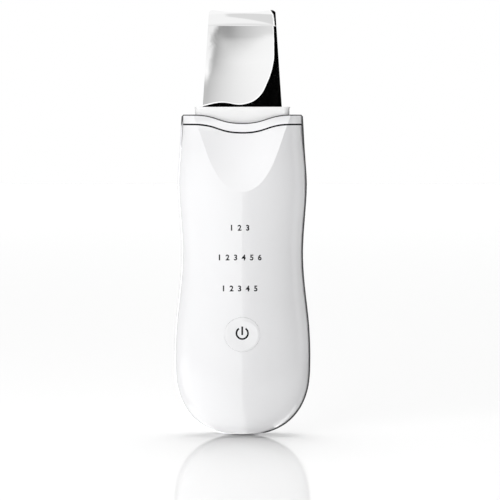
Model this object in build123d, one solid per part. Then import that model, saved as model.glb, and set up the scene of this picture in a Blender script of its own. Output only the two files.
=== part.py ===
"""Ultrasonic skin scrubber: a waisted hand-held body with a vibrating stainless steel blade.

Millimetres.  +Z runs up the handle to the blade, the key side faces -Y, +X is to the right.
The origin lies under the middle of the rounded lower end.
"""
from build123d import *
from math import cos, pi, radians, sin, sqrt, tan
import os

os.makedirs("parts", exist_ok=True)

# Handle outline, as (height, half width).  Between two heights the side runs as half a cosine.
END_RISE = 28.0
END_POWER = 2.4
SIDE = ((28.0, 26.5), (33.0, 26.5), (71.5, 23.6), (98.0, 25.05), (124.5, 23.4), (136.0, 23.4))
# Depth in front of and behind the parting plane, as (height, depth).
DEPTH_RISE = 12.0
FRONT = ((12.0, 9.8), (40.0, 9.8), (71.5, 9.3), (98.0, 9.45), (124.5, 8.7), (136.0, 8.7))
REAR = ((12.0, 10.0), (104.0, 10.0), (124.5, 8.7), (136.0, 8.7))
FRONT_FULLNESS = 0.61
REAR_FULLNESS = 0.70
BACK_FLAT = 9.3
BODY_END = 130.0
AHEAD = -12.0
BEHIND = 12.0

# Shells
TRIM_PROUD = 0.5
COLLAR_PROUD = 0.15
WALL = 1.4
TRIM_HALF = 1.0
TRIM_ROUND = 0.45
CAVITY = TRIM_PROUD + WALL
FIT = 0.05

# Collar: both edges dip in the middle, front and back.
DIP = 3.2
DIP_HALF = 18.8
SHELL_TOP = 120.7
COLLAR_LOW = 121.35
COLLAR_TOP = 124.4
COLLAR_SEAL = 0.4
COLLAR_SEAL_ROOM = 0.2
TAIL_IN = 22.2
CROWN_CUT = 0.6
COLLAR_LUG_IN = 17.8
COLLAR_LUG_OUT = 20.1
COLLAR_LUG_HALF = 2.2

# Flattened facet under and over the collar: hardly crowned across, falling back more and more
# along the handle from a foot where it runs level, in front of the body.
FACET_RUN = 310.0
FACET_CROWN = 500.0
FACET_FOOT = 73.6
FACET_FOOT_Y = -9.71
FACET_TURN = 12.0
FACET_EDGE = 30.0
FACET_WALL = 1.2

# Neck and transducer
NECK_WIDE = 36.4
NECK_DEEP = 9.2
NECK_CORNER = 2.2
NECK_TOP = 127.8
NECK_FOOT = 103.0
POCKET_WIDE = 29.2
POCKET_DEEP = 6.4
POCKET_CORNER = 1.5
POCKET_TOP = 125.8
SEAL_WIDE = 31.8
SEAL_DEEP = 3.6
SEAL_CORNER = 1.7
FLARE_TALL = 0.8
FLARE_TURN = 24.0
FLANGE_WIDE = 40.0
FLANGE_DEEP = 10.2
FLANGE_CORNER = 4.4
FLANGE_THICK = 2.0
CLAMP_THICK = 1.6
CLAMP_SCREW_X = 16.4
CLAMP_SCREW = (0.78, 1.5, 1.0, 5.5)
CLAMP_HOLE_R = 0.9
CLAMP_PILOT_R = 0.8
CLAMP_PILOT_DEEP = 5.0
CLAMP_SLOT = (2.2, 1.6, 3.6)
SHELF_THICK = 1.4
SHELF_GROW = 8.0
SHELF_CORNER = 2.9
DAMPER_HALF = 13.0
DAMPER_TOP = 123.0
LEAD_SLOT = (2.0, 2.0, 106.0)
PIEZO_R = 9.0
PIEZO_THICK = 1.9
PIEZO_Z = 113.0

# Blade
BLADE_TIP = 165.3
BLADE_THICK = 0.9
BLADE_ROOT_HALF = 15.3
BLADE_TIP_HALF = 12.75
BLADE_CORNER = 2.1
BLADE_DIP = 1.2
SHANK_HALF = 13.6
SHANK_FOOT = 103.6
SHOULDER = 1.4
BEND_Z = 159.0
LIP_TILT = 22.0
# The pressed scoop, as (height, set back of its middle, hollow across)
SCOOP = ((NECK_TOP, 0.0, 0.0), (133.0, 0.02, 0.06), (140.0, 0.25, 0.5), (148.0, 0.75, 1.05),
         (155.0, 0.95, 1.3), (BEND_Z, 0.7, 1.2))

# Power key: its top is flat across and hollow along the handle, so the pad comes out nearly round.
KEY_Z = 40.2
KEY_A = 6.9
KEY_B = 6.7
KEY_GAP = 0.05
KEY_PAD_R = 63.0
KEY_PAD_ACROSS_R = 260.0
KEY_PAD_DEEP = 0.27
KEY_STEM_R = 1.5
KEY_FLANGE_OVER = 0.9
KEY_FLANGE_THICK = 0.8
KEY_PLAY = 0.4
SEAL_RING_IN = 0.4
SEAL_RING_OUT = 1.8
SEAL_RING_BACK = -6.4

# Circuit board and what it carries
BOARD_FRONT = -1.6
BOARD_THICK = 1.2
BOARD_BACK = BOARD_FRONT + BOARD_THICK
BOARD_INSET = 4.8
BOARD_LOW = 16.0
BOARD_TOP = 92.0
BOARD_CORNER = 2.0
SWITCH = 6.0
SWITCH_TALL = 3.5
SWITCH_EDGE = 0.5
SWITCH_LEG = (4.2, 2.2, 0.4, 0.3)
PLUNGER_R = 1.6
PLUNGER_OUT = 0.6
PLUNGER_IN = 0.9
PLUNGER_EDGE = 0.25
MODE_Z = (80.9, 69.4, 57.4)
FRAME_THICK = 1.2
FRAME_BACK = BOARD_BACK + FRAME_THICK
FRAME_LOW = 14.5
FRAME_TOP = 64.0
FENCE_THICK = 1.0
FENCE_BACK = 4.0
CELL_WIDE = 28.0
CELL_THICK = 5.4
CELL_LOW = 17.0
CELL_TALL = 43.0
CELL_ROOM = 0.2
CELL_CORNER = 1.6
# Protection strip on the cell's top: half width, height, set back and thickness
CELL_STRIP = (12.0, 3.0, 1.0, 2.6)
FOAM_HALF = 8.0
FOAM_Z = (22.0, 50.0)
# Light box round the mode lamps: left, right, front, low, high, and half the height of each chamber
SHIELD = (-9.0, 7.0, -6.5, 53.0, 85.5)
SHIELD_WALL = 1.4
CHAMBER_HALF = 3.6
LAMP_X = -1.0
# Lamp body and lens, as (half width, half height, thickness)
LAMP_BODY = (1.2, 0.8, 0.5)
LAMP_LENS = (0.6, 0.6, 0.4)
BOSS_R = 2.2
PILOT_R = 0.7
PILOT_DEEP = 3.4
SCREW_HOLE_R = 1.0
SCREW = (0.68, 1.5, 1.0)
FRAME_SCREW_LONG = 5.4
BOARD_SCREW_LONG = 4.2
FRAME_SCREWS = ((18.0, 27.0), (17.0, 58.0))
BOARD_SCREWS = ((16.5, 87.5),)

# What stands on the board: the chip as (x, z, half width, half height, thickness)
CHIP = (12.0, 71.0, 2.0, 5.0, 1.6)
CHIP_LIFT = 0.1
CHIP_EDGE = 0.3
CHIP_LEGS = 8
CHIP_PITCH = 1.27
CHIP_LEG = (1.1, 0.2, 0.6)
CORE_HALF = 6.5
CORE_FRONT = 1.2
CORE_BACK = 5.4
CORE_Z = (74.0, 86.0)
CORE_LEG = 2.2
CORE_YOKE = 1.6
CORE_ARM = 2.0
BASE_HALF = 6.0
COIL_DEEP = 6.2
CAN_R = 3.15
CAN_NECK = 2.9
CAN_X = 12.2
CAN_Z = (70.0, 79.0, 77.4, 77.9)
DRUM = (3.9, 3.2, 5.0, 1.0)
DRUM_Z = 69.0
DRIVER = (3.0, 2.2, 82.0, 87.0)
DRIVER_TAB = (0.5, 0.5, 88.2)
DRIVER_X = 10.5

# Charging socket, at the back of the lower end
SOCKET_Y = 4.0
SOCKET_WIDE = 7.5
SOCKET_DEEP = 2.6
SOCKET_LOW = 2.4
SOCKET_LONG = 5.4
SOCKET_SKIN = 0.3
SOCKET_CORNER = 1.0
SOCKET_ROOM = 0.45
SOCKET_BACK = 0.5
PLUG_TONGUE = (2.6, 0.3)
PLUG_TONGUE_SET = 1.0
CHARGE_BOARD = 0.8
CHARGE_BOARD_HALF = 6.5
CHARGE_BOARD_Z = (6.6, 15.6)
CHARGE_POST_X = 4.5
CHARGE_POST_Z = 13.0
CHARGE_POST_R = 1.5

# Snap tongues of the rear shell
TONGUE_Z = (31.0, 49.0, 80.0)
TONGUE_LONG = 4.0
TONGUE_THICK = 1.1
TONGUE_REACH = -2.6
TONGUE_INSET = 3.15
TONGUE_ROOT = 1.5
TONGUE_BACK = 4.0
HOOK = 0.5
HOOK_TALL = 0.6
CATCH_ROOM = 0.2

# Leaf spring from the board to the plated side trim
SPRING_Z = 68.0
SPRING_WIDE = 3.0
SPRING_THICK = 0.24
SPRING_X = 15.0
SPRING_FOOT = 4.0
SPRING_RISE = 1.2
SPRING_KNEE = 1.4
SPRING_TIP = 0.4

# Insulated leads: radius, clearance, and the bend of each pair
LEAD_R = 0.4
LEAD_LIFT = 0.02
LEAD_IN_BOARD = 4.0
TRANSDUCER_LEAD_X = 1.2
TRANSDUCER_LEAD_START = 6.5
TRANSDUCER_LEAD_TURN = 4.0
TRANSDUCER_LEAD_BEND = 3.0
BATTERY_LEAD_X = 6.0
BATTERY_LEAD_Y = 2.8
BATTERY_LEAD_RISE = 2.6
BATTERY_LEAD_CROSS = 7.0
BATTERY_LEAD_BEND = 1.5
CHARGE_LEAD_X = 5.0
CHARGE_LEAD_TURN = 3.4
CHARGE_LEAD_LONG = 3.1
CHARGE_LEAD_BEND = 1.2


def blend(height, knots):
    """Value at a height, easing from knot to knot."""
    for (low, start), (high, end) in zip(knots, knots[1:]):
        if height <= high:
            share = max(0.0, (height - low) / (high - low))
            return start + (end - start) * (1 - cos(pi * share)) / 2
    return knots[-1][1]


def rounded(height, knots, rise, inset):
    """Half size at a height, rounded off over the lower end and drawn in by inset."""
    full = blend(height, knots) - inset
    if height >= rise:
        return full
    drop = min(1.0, (rise - height) / (rise - inset))
    return full * (1 - drop ** END_POWER) ** (1 / END_POWER)


def half_width(height, inset=0.0):
    return rounded(height, SIDE, END_RISE, inset)


def body_section(height, inset):
    """Closed cross-section of the handle, in four quarters that meet square to the axes."""
    x = half_width(height, inset)
    front = -rounded(height, FRONT, DEPTH_RISE, inset)
    rear = rounded(height, REAR, DEPTH_RISE, inset)
    quarters = []
    for side, y, full in ((1, front, FRONT_FULLNESS), (-1, front, FRONT_FULLNESS),
                          (-1, rear, REAR_FULLNESS), (1, rear, REAR_FULLNESS)):
        quarters.append(Bezier((side * x, 0), (side * x, full * y), (side * full * x, y), (0, y)))
    return Pos(0, 0, height) * make_face(quarters)


def body_form(inset):
    """Smooth solid of the whole handle, drawn in by inset."""
    heights = []
    for turn in (5, 16, 28, 40, 52, 65, 78, 90):
        heights.append(END_RISE - (END_RISE - inset) * cos(radians(turn)) ** (2 / END_POWER))
    heights += [33.0, 42.0, 52.0, 62.0, 71.5, 80.0, 89.0, 98.0, 107.0, 116.0, 124.5, BODY_END]
    return loft([body_section(height, inset) for height in heights])


def outline_face(inset, low, high, plane=Plane.XZ):
    """Outline of the handle seen from the front, between two heights, drawn in by inset."""
    points = []
    for turn in range(0, 90, 15):
        rise = (END_RISE - inset) * cos(radians(turn)) ** (2 / END_POWER)
        points.append(((SIDE[0][1] - inset) * sin(radians(turn)) ** (2 / END_POWER), END_RISE - rise))
    for height in (28.0, 33.0, 45.0, 58.0, 71.5, 85.0, 98.0, 111.0, 124.5, BODY_END):
        points.append((half_width(height, inset), height))
    right = Spline(*points, tangents=[(1, 0), (0, 1)])
    top = Line((-points[-1][0], points[-1][1]), points[-1])
    whole = make_face([right, top, mirror(right, Plane.YZ)])
    window = Pos(0, (low + high) / 2) * Rectangle(80, high - low)
    return plane * (whole & window)


def slab(y_low, y_high, z_low, z_high, half=40.0):
    return Pos(0, (y_low + y_high) / 2, (z_low + z_high) / 2) * Box(2 * half, y_high - y_low, z_high - z_low)


def between(y_low, y_high, face):
    """Solid of a face drawn on Plane.XZ, from y_low to y_high."""
    return Pos(0, y_high, 0) * extrude(face, amount=y_high - y_low)


def below_wave(level):
    """All that lies under a level which dips in the middle."""
    low = level - DIP
    knee = DIP_HALF / 2
    left = Bezier((-DIP_HALF, level), (-knee, level), (-knee, low), (0, low))
    right = Bezier((0, low), (knee, low), (knee, level), (DIP_HALF, level))
    rest = Polyline((DIP_HALF, level), (40, level), (40, -5), (-40, -5), (-40, level), (-DIP_HALF, level))
    return between(-20, 20, Plane.XZ * make_face([left, right, rest]))


def facet_space(back=0.0):
    """All that lies in front of the facet, moved back by a wall."""
    edge = FACET_EDGE
    y = FACET_FOOT_Y + back
    y_edge = y + FACET_CROWN - sqrt(FACET_CROWN ** 2 - edge ** 2)
    arc = ThreePointArc((-edge, y_edge), (0, y), (edge, y_edge))
    rim = Polyline((edge, y_edge), (edge, -edge), (-edge, -edge), (-edge, y_edge))
    section = Pos(0, 0, FACET_FOOT) * make_face([arc, rim])
    return revolve(section, Axis((0, y + FACET_RUN, FACET_FOOT), (-1, 0, 0)), FACET_TURN)


def round_prism(wide, deep, corner, z_low, z_high):
    return Pos(0, 0, z_low) * extrude(RectangleRounded(wide, deep, corner), amount=z_high - z_low)


def rod(x, z, radius, y_low, y_high):
    """Round bar along Y."""
    return Pos(x, (y_low + y_high) / 2, z) * Rot(90, 0, 0) * Cylinder(radius, y_high - y_low)


def box(x_low, x_high, y_low, y_high, z_low, z_high):
    middle = ((x_low + x_high) / 2, (y_low + y_high) / 2, (z_low + z_high) / 2)
    return Pos(*middle) * Box(x_high - x_low, y_high - y_low, z_high - z_low)


def pairs(places):
    return [(side * x, z) for x, z in places for side in (-1, 1)]


def joined(pieces):
    whole = pieces[0]
    for piece in pieces[1:]:
        whole = whole + piece
    return whole


def lead(points, bend):
    """Insulated wire: straight runs joined by arcs."""
    path = FilletPolyline(*points, radius=bend)
    start = Plane(path @ 0, z_dir=path % 0)
    return sweep(start * Circle(LEAD_R), path)


def bar(radius, z_low, z_high):
    """Round bar along Z."""
    return Pos(0, 0, (z_low + z_high) / 2) * Cylinder(radius, z_high - z_low)


def pan_screw(radius, head_radius, head, length):
    """Screw with its head's seat at the origin, pointing along +Z, with a cross recess."""
    whole = bar(radius, 0, length) + bar(head_radius, -head, 0)
    recess = box(-head_radius * 0.6, head_radius * 0.6, -0.15, 0.15, -head, -head / 2)
    whole = fillet(whole.edges().group_by(Axis.Z)[0], head * 0.4)
    return whole - recess - Rot(0, 0, 90) * recess


def key_pad():
    """What is taken off the front of the key: a drum lying across the handle, its side swelling slightly."""
    deepest = TRIM_PROUD - blend(KEY_Z, FRONT) + KEY_PAD_DEEP
    half = 2 * KEY_A
    end = deepest - KEY_PAD_ACROSS_R + sqrt(KEY_PAD_ACROSS_R ** 2 - half ** 2)
    axis_y = deepest - KEY_PAD_R
    arc = ThreePointArc((-half, end), (0, deepest), (half, end))
    rim = Polyline((half, end), (half, axis_y), (-half, axis_y), (-half, end))
    return revolve(Pos(0, 0, KEY_Z) * make_face([arc, rim]), Axis((0, axis_y, KEY_Z), (1, 0, 0)))


def key_prism(grow, y_low, y_high):
    return between(y_low, y_high, Plane.XZ * Pos(0, KEY_Z) * Ellipse(KEY_A + grow, KEY_B + grow))


def shelves(room):
    """Ribs across the handle that grip the neck's flange from below and above."""
    low = NECK_FOOT - CLAMP_THICK - FIT
    high = NECK_FOOT + FLANGE_THICK + FIT
    under = room & slab(AHEAD, BEHIND, low - SHELF_THICK, low)
    under -= round_prism(POCKET_WIDE + SHELF_GROW, POCKET_DEEP, SHELF_CORNER, low - SHELF_THICK, low)
    over = room & slab(AHEAD, BEHIND, high, high + SHELF_THICK)
    return under + (over - neck_core(2 * FIT))


def front_shell(skin, room):
    front_half = slab(AHEAD, -TRIM_HALF, -1, BODY_END)
    shell = skin - room
    for x, z in pairs(FRAME_SCREWS + BOARD_SCREWS):
        shell += rod(x, z, BOSS_R, AHEAD, BOARD_FRONT) & skin
    shell += shelves(room)
    shell = shell & front_half & below_wave(SHELL_TOP)
    for x, z in pairs(FRAME_SCREWS + BOARD_SCREWS):
        shell -= rod(x, z, PILOT_R, BOARD_FRONT - PILOT_DEEP, BOARD_FRONT)
    shell -= key_prism(0, AHEAD, 0)
    half = TONGUE_LONG / 2 + CATCH_ROOM
    for side, z, wall in tongue_places():
        face = wall - TONGUE_INSET
        shell -= box(*sorted((side * (face - 1), side * (face + HOOK + CATCH_ROOM))),
                     TONGUE_REACH - CATCH_ROOM, TONGUE_REACH + HOOK_TALL + CATCH_ROOM, z - half, z + half)
    return shell


def tongue_places():
    """Side, height and local half width of each snap tongue."""
    places = []
    for z in TONGUE_Z:
        wall = min(half_width(z - TONGUE_LONG / 2), half_width(z + TONGUE_LONG / 2))
        places += [(1, z, wall), (-1, z, wall)]
    return places


def rear_shell(skin, room):
    shell = (skin - room) + shelves(room)
    for x in (-CHARGE_POST_X, CHARGE_POST_X):
        shell += rod(x, CHARGE_POST_Z, CHARGE_POST_R, SOCKET_Y + SOCKET_DEEP / 2 + CHARGE_BOARD, BEHIND) & skin
    shell = shell & slab(TRIM_HALF, BACK_FLAT, -1, BODY_END) & below_wave(SHELL_TOP)
    for side, z, wall in tongue_places():
        low, high = z - TONGUE_LONG / 2, z + TONGUE_LONG / 2
        face = wall - TONGUE_INSET
        inner = face - TONGUE_THICK
        shell += box(*sorted((side * inner, side * wall)), TONGUE_ROOT, TONGUE_BACK, low, high) & skin
        shell += box(*sorted((side * inner, side * face)), TONGUE_REACH, TONGUE_ROOT, low, high)
        shell += box(*sorted((side * face, side * (face + HOOK))), TONGUE_REACH, TONGUE_REACH + HOOK_TALL,
                     low, high)
    room = 2 * SOCKET_ROOM
    mouth = RectangleRounded(SOCKET_WIDE + room, SOCKET_DEEP + room, SOCKET_CORNER + SOCKET_ROOM)
    shell -= Pos(0, SOCKET_Y, -1) * extrude(mouth, amount=SOCKET_LOW + SOCKET_LONG)
    return shell


def crown():
    """All that lies within the outline up to the collar's seal, its two top corners cut off."""
    top = COLLAR_TOP + COLLAR_SEAL
    near, far = half_width(top) - CROWN_CUT, half_width(top) + NECK_DEEP
    low = top - (far - near)
    window = make_face(Polyline((-far, -1), (-far, low), (-near, top), (near, top), (far, low), (far, -1),
                                close=True))
    return outline_face(0, -1, top) & (Plane.XZ * window)


def trim_tails():
    """Thin upper ends of the side trim, let into the collar."""
    tails = between(-TRIM_HALF, TRIM_HALF, crown()) - slab(-TRIM_HALF, TRIM_HALF, -1, SHELL_TOP)
    return tails - slab(-TRIM_HALF, TRIM_HALF, SHELL_TOP, BODY_END, TAIL_IN)


def side_trim():
    trim = between(-TRIM_HALF, TRIM_HALF, crown() - outline_face(CAVITY, -1, SHELL_TOP))
    trim -= slab(-TRIM_HALF, TRIM_HALF, SHELL_TOP, BODY_END, TAIL_IN)
    return fillet(trim.edges().sort_by(SortBy.LENGTH)[-2:], TRIM_ROUND)


def collar_ring(form):
    ring = (form & below_wave(COLLAR_TOP)) - below_wave(COLLAR_LOW)
    for side in (-1, 1):
        ring += box(*sorted((side * COLLAR_LUG_IN, side * COLLAR_LUG_OUT)), -COLLAR_LUG_HALF, COLLAR_LUG_HALF,
                    COLLAR_LOW - DIP, COLLAR_LOW + 1)
    return ring - neck_core(FIT) - trim_tails()


def collar_seal(skin):
    band = (skin & below_wave(COLLAR_TOP + COLLAR_SEAL)) - below_wave(COLLAR_TOP)
    return (band & between(AHEAD, BEHIND, crown())) - neck_core(COLLAR_SEAL_ROOM) - trim_tails()


def neck_core(grow):
    """The neck's outline through the collar, grown all round."""
    return round_prism(NECK_WIDE + 2 * grow, NECK_DEEP + 2 * grow, NECK_CORNER + grow, NECK_FOOT, BODY_END)


def shell_seal(skin, room):
    band = (skin - room) & below_wave(COLLAR_LOW)
    return band - below_wave(SHELL_TOP) - trim_tails() - neck_core(FIT)


def neck_housing():
    neck = round_prism(NECK_WIDE, NECK_DEEP, NECK_CORNER, NECK_FOOT, NECK_TOP)
    flare = extrude(RectangleRounded(NECK_WIDE, NECK_DEEP, NECK_CORNER), amount=FLARE_TALL, taper=-FLARE_TURN)
    neck += Pos(0, 0, NECK_TOP - FLARE_TALL) * flare
    neck += round_prism(FLANGE_WIDE, FLANGE_DEEP, FLANGE_CORNER, NECK_FOOT, NECK_FOOT + FLANGE_THICK)
    neck -= round_prism(POCKET_WIDE, POCKET_DEEP, POCKET_CORNER, NECK_FOOT, POCKET_TOP)
    neck -= round_prism(SEAL_WIDE, SEAL_DEEP, SEAL_CORNER, POCKET_TOP, NECK_TOP)
    for side in (-1, 1):
        neck -= Pos(side * CLAMP_SCREW_X, 0, 0) * bar(CLAMP_PILOT_R, NECK_FOOT, NECK_FOOT + CLAMP_PILOT_DEEP)
    return neck


def blade_half(z):
    share = (z - NECK_TOP) / (BLADE_TIP - NECK_TOP)
    return BLADE_ROOT_HALF + (BLADE_TIP_HALF - BLADE_ROOT_HALF) * share


def shank():
    """Flat foot of the blade inside the neck, with shoulders under the seal."""
    shoulder = NECK_TOP - SHOULDER
    right = [(SHANK_HALF, SHANK_FOOT), (SHANK_HALF, shoulder), (BLADE_ROOT_HALF, shoulder),
             (BLADE_ROOT_HALF, NECK_TOP)]
    left = [(-x, z) for x, z in reversed(right)]
    face = make_face(Polyline(*right, *left, close=True))
    return between(-BLADE_THICK / 2, BLADE_THICK / 2, Plane.XZ * face)


def sheet_section(z, middle, hollow):
    """Level cut through the sheet: a band between two arcs, its edges forward by the hollow."""
    half = blade_half(z)
    front, back = middle - BLADE_THICK / 2, middle + BLADE_THICK / 2
    if hollow:
        near = ThreePointArc((-half, front - hollow), (0, front), (half, front - hollow))
        far = ThreePointArc((half, back - hollow), (0, back), (-half, back - hollow))
    else:
        near = Line((-half, front), (half, front))
        far = Line((half, back), (-half, back))
    sides = [Line(near @ 1, far @ 0), Line(far @ 1, near @ 0)]
    return Pos(0, 0, z) * make_face([near, sides[0], far, sides[1]])


def blade():
    scoop = loft([sheet_section(*cut) for cut in SCOOP])
    bend = SCOOP[-1]
    over = BLADE_TIP + 1
    tip = (over, bend[1] - (over - BEND_Z) * tan(radians(LIP_TILT)), bend[2])
    lip = loft([sheet_section(*bend), sheet_section(*tip)])
    low, high = blade_half(BEND_Z) + 1, BLADE_TIP_HALF
    edge = ThreePointArc((high, BLADE_TIP), (0, BLADE_TIP - BLADE_DIP), (-high, BLADE_TIP))
    window = make_face([edge, Polyline((-high, BLADE_TIP), (-low, BEND_Z), (low, BEND_Z), (high, BLADE_TIP))])
    window = fillet(window.vertices().group_by(Axis.Y)[-1], BLADE_CORNER)
    lip = lip & between(-10, 10, Plane.XZ * window)
    return shank() + scoop + lip


def blade_seal():
    seal = round_prism(SEAL_WIDE, SEAL_DEEP, SEAL_CORNER, POCKET_TOP, NECK_TOP)
    return seal - shank()


def piezo_disc():
    return rod(0, PIEZO_Z, PIEZO_R, BLADE_THICK / 2, BLADE_THICK / 2 + PIEZO_THICK)


def damper(side):
    near, far = BLADE_THICK / 2, POCKET_DEEP / 2
    pad = box(-DAMPER_HALF, DAMPER_HALF, *sorted((side * near, side * far)), SHANK_FOOT, DAMPER_TOP)
    if side > 0:
        half, front, high = LEAD_SLOT
        pad -= rod(0, PIEZO_Z, PIEZO_R + 4 * FIT, 0, NECK_DEEP)
        pad -= box(-half, half, front, far, SHANK_FOOT, high)
    return pad


def transducer_clamp():
    foot = NECK_FOOT - CLAMP_THICK
    clamp = round_prism(FLANGE_WIDE, FLANGE_DEEP, FLANGE_CORNER, foot, NECK_FOOT)
    clamp += round_prism(POCKET_WIDE - 4 * FIT, POCKET_DEEP - 4 * FIT, POCKET_CORNER, NECK_FOOT, SHANK_FOOT)
    half, front, back = CLAMP_SLOT
    clamp -= box(-half, half, front, back, foot, SHANK_FOOT)
    for side in (-1, 1):
        clamp -= Pos(side * CLAMP_SCREW_X, 0, 0) * bar(CLAMP_HOLE_R, foot, NECK_FOOT)
    return clamp


def clamp_screws():
    screw = Pos(0, 0, NECK_FOOT - CLAMP_THICK) * pan_screw(*CLAMP_SCREW)
    return [Pos(side * CLAMP_SCREW_X, 0, 0) * screw for side in (-1, 1)]


def power_key(skin):
    wall_y = CAVITY - blend(KEY_Z, FRONT)
    flange_y = wall_y + KEY_PLAY
    foot_y = flange_y + KEY_FLANGE_THICK
    cap = key_prism(-KEY_GAP, AHEAD, flange_y) & skin
    flange = key_prism(KEY_FLANGE_OVER, flange_y, foot_y)
    stem = rod(0, KEY_Z, KEY_STEM_R, foot_y, BOARD_FRONT - SWITCH_TALL - PLUNGER_OUT - FIT)
    return cap + flange + stem


def key_seal(room):
    ring = key_prism(KEY_FLANGE_OVER + SEAL_RING_OUT, AHEAD, SEAL_RING_BACK)
    ring -= key_prism(KEY_FLANGE_OVER + SEAL_RING_IN, AHEAD, SEAL_RING_BACK)
    return ring & room


def tact_switch():
    face = BOARD_FRONT - SWITCH_TALL
    half = SWITCH / 2
    switch = box(-half, half, face, BOARD_FRONT, KEY_Z - half, KEY_Z + half)
    switch = chamfer(switch.edges().filter_by(Axis.Y), SWITCH_EDGE)
    reach, offset, width, thick = SWITCH_LEG
    for side in (-1, 1):
        near, far = sorted((side * (half - SWITCH_EDGE), side * reach))
        for z in (KEY_Z - offset, KEY_Z + offset):
            switch += box(near, far, BOARD_FRONT - thick, BOARD_FRONT, z - width, z + width)
    return switch - rod(0, KEY_Z, PLUNGER_R + FIT, face, face + PLUNGER_IN + PLUNGER_OUT)


def switch_plunger():
    face = BOARD_FRONT - SWITCH_TALL
    plunger = rod(0, KEY_Z, PLUNGER_R, face - PLUNGER_OUT, face + PLUNGER_IN)
    return chamfer(plunger.edges().group_by(Axis.Y)[0], PLUNGER_EDGE)


def board_outline(low, high):
    return outline_face(BOARD_INSET, low, high)


def screw_rods(places, radius, y_low, y_high):
    return joined([rod(x, z, radius, y_low, y_high) for x, z in pairs(places)])


def circuit_board():
    board = between(BOARD_FRONT, BOARD_BACK, board_outline(BOARD_LOW, BOARD_TOP))
    board -= screw_rods(FRAME_SCREWS + BOARD_SCREWS, SCREW_HOLE_R, BOARD_FRONT, BOARD_BACK)
    return chamfer(board.edges().filter_by(Axis.Y).group_by(Axis.Z)[-1], BOARD_CORNER)


def mid_frame():
    tray = between(BOARD_BACK, FRAME_BACK, board_outline(FRAME_LOW, FRAME_TOP))
    tray -= screw_rods(FRAME_SCREWS, SCREW_HOLE_R, BOARD_BACK, FRAME_BACK)
    side = CELL_WIDE / 2 + CELL_ROOM
    out = side + FENCE_THICK
    low, high = CELL_LOW, CELL_LOW + CELL_TALL
    fence = box(-out, out, FRAME_BACK, FENCE_BACK, low - FENCE_THICK, high)
    return tray + (fence - box(-side, side, FRAME_BACK, FENCE_BACK, low, high))


def screws_along_y(places, seat, length):
    screw = Rot(90, 0, 0) * pan_screw(*SCREW, length)
    return [Pos(x, seat, z) * screw for x, z in pairs(places)]


def battery_cell():
    half, tall, back, thick = CELL_STRIP
    high = CELL_LOW + CELL_TALL
    foot = high - tall
    cell = box(-CELL_WIDE / 2, CELL_WIDE / 2, FRAME_BACK, FRAME_BACK + CELL_THICK, CELL_LOW, foot)
    cell = fillet(cell.edges().filter_by(Axis.Z), CELL_CORNER)
    return cell + box(-half, half, FRAME_BACK + back, FRAME_BACK + back + thick, foot, high)


def battery_foam(room):
    back = FRAME_BACK + CELL_THICK
    return box(-FOAM_HALF, FOAM_HALF, back, BEHIND, *FOAM_Z) & room


def led_shield():
    left, right, front, low, high = SHIELD
    shield = box(left, right, front, BOARD_FRONT, low, high)
    for z in MODE_Z:
        shield -= box(left + SHIELD_WALL, right - SHIELD_WALL, front, BOARD_FRONT,
                      z - CHAMBER_HALF, z + CHAMBER_HALF)
    return shield


def mode_leds():
    lamps = []
    for z in MODE_Z:
        half, tall, thick = LAMP_BODY
        face = BOARD_FRONT - thick
        lamp = box(LAMP_X - half, LAMP_X + half, face, BOARD_FRONT, z - tall, z + tall)
        half, tall, thick = LAMP_LENS
        lamps.append(lamp + box(LAMP_X - half, LAMP_X + half, face - thick, face, z - tall, z + tall))
    return lamps


def controller_chip():
    x, z, half, tall, thick = CHIP
    chip = box(x - half, x + half, BOARD_FRONT - thick, BOARD_FRONT - CHIP_LIFT, z - tall, z + tall)
    chip = chamfer(chip.edges().filter_by(Axis.Z), CHIP_EDGE)
    reach, width, deep = CHIP_LEG
    for step in range(CHIP_LEGS):
        leg = z + (step - (CHIP_LEGS - 1) / 2) * CHIP_PITCH
        for side in (-1, 1):
            near, far = sorted((x + side * (half - width), x + side * (half + reach)))
            chip += box(near, far, BOARD_FRONT - deep, BOARD_FRONT, leg - width, leg + width)
    return chip


def transformer_core():
    core = box(-CORE_HALF, CORE_HALF, CORE_FRONT, CORE_BACK, *CORE_Z)
    for side in (-1, 1):
        near, far = sorted((side * CORE_LEG, side * (CORE_HALF - CORE_YOKE)))
        core -= box(near, far, CORE_FRONT, CORE_BACK, CORE_Z[0] + CORE_ARM, CORE_Z[1] - CORE_ARM)
    return core


def transformer_winding():
    """Taped winding on its base, with the core's middle leg left out."""
    low, high = CORE_Z
    base = box(-BASE_HALF, BASE_HALF, BOARD_BACK, CORE_FRONT, low + 1, high - 1)
    wide = 2 * (CORE_HALF - CORE_YOKE - CELL_ROOM)
    coil = Pos(0, (CORE_FRONT + CORE_BACK) / 2, 0) * round_prism(
        wide, COIL_DEEP, POCKET_CORNER, low + CORE_ARM + CELL_ROOM, high - CORE_ARM - CELL_ROOM)
    return (coil + base) - box(-CORE_LEG, CORE_LEG, CORE_FRONT, CORE_BACK, low, high)


def grooved(radius, neck, low, high, groove_low, groove_high):
    """Upright round can with a groove rolled into it."""
    groove = bar(radius + 1, groove_low, groove_high) - bar(neck, groove_low, groove_high)
    return bar(radius, low, high) - groove


def capacitors():
    can = grooved(CAN_R, CAN_NECK, *CAN_Z)
    return [Pos(side * CAN_X, BOARD_BACK + CAN_R, 0) * can for side in (-1, 1)]


def inductor():
    """Drum with its winding channel, its axis along Y."""
    radius, neck, tall, rim = DRUM
    drum = grooved(radius, neck, 0, tall, rim, tall - rim)
    return Pos(0, BOARD_BACK, DRUM_Z) * Rot(-90, 0, 0) * drum


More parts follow.
